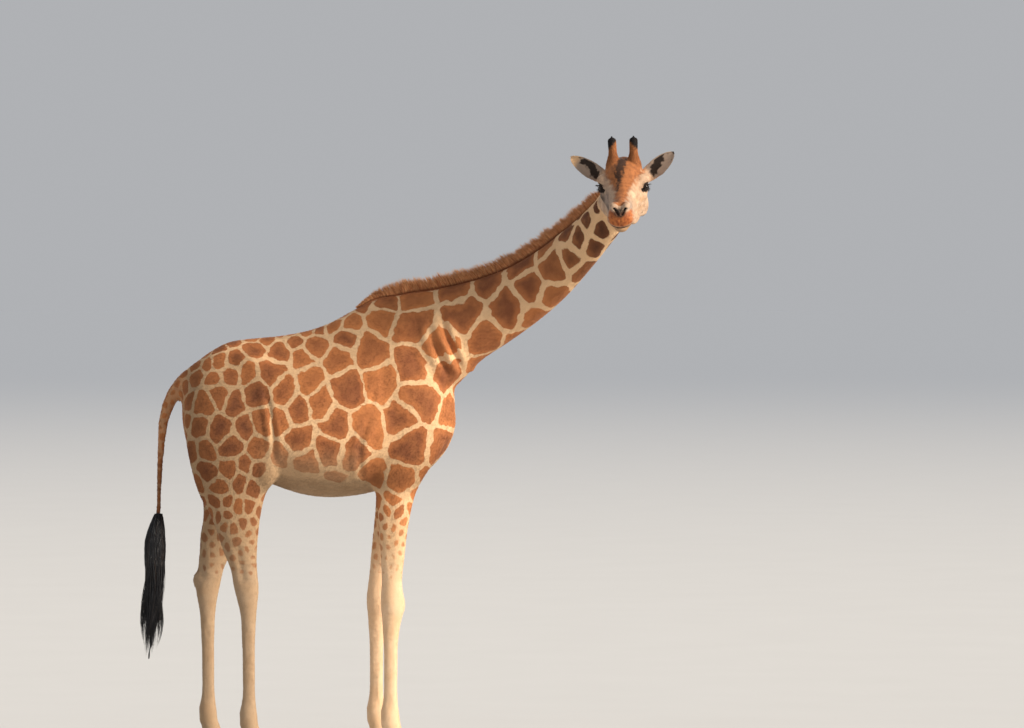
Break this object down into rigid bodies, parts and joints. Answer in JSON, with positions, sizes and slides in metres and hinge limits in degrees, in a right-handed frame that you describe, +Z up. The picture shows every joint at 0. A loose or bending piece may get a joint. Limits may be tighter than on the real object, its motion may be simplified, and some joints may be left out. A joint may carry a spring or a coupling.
{
  "type": "giraffe",
  "caption": "Life-size giraffe standing on four hooves, its neck stretched forward and up and bent to its right, head turned to that side, tail hanging straight down.",
  "frame": {"origin": "middle of the model's bounding box, on the ground under the hooves", "axes": "+Z up; +X the way the trunk faces; +Y to the animal's left"},
  "size_m": [3.1252, 1.5318, 3.6344],
  "materials": {
    "coat": "short orange-brown hair",
    "pale_coat": "short cream hair",
    "mane_hair": "stiff red-brown hair",
    "black_hair": "long black hair",
    "hoof_horn": "dull horn",
    "eye_gloss": "wet gloss"
  },
  "bodies": {
    "root": {"mane": "mane_hair", "tail": "coat", "tail_tuft": "black_hair", "ear_right": "pale_coat", "ear_left": "pale_coat", "eye_right": "eye_gloss", "eye_left": "eye_gloss", "neck_lower": "coat", "neck_upper": "coat", "trunk": "coat", "foreleg_right_upper": "coat", "foreleg_right_lower": "pale_coat", "foreleg_left_upper": "coat", "foreleg_left_lower": "pale_coat", "hindleg_right_upper": "coat", "hindleg_right_lower": "pale_coat", "hindleg_left_upper": "coat", "hindleg_left_lower": "pale_coat", "head": "pale_coat", "ossicone_right": "coat", "ossicone_left": "coat", "hoof_fore_right_outer": "hoof_horn", "hoof_fore_right_inner": "hoof_horn", "hoof_hind_right_outer": "hoof_horn", "hoof_hind_right_inner": "hoof_horn", "hoof_fore_left_outer": "hoof_horn", "hoof_fore_left_inner": "hoof_horn", "hoof_hind_left_outer": "hoof_horn", "hoof_hind_left_inner": "hoof_horn"}
  },
  "joints": []
}
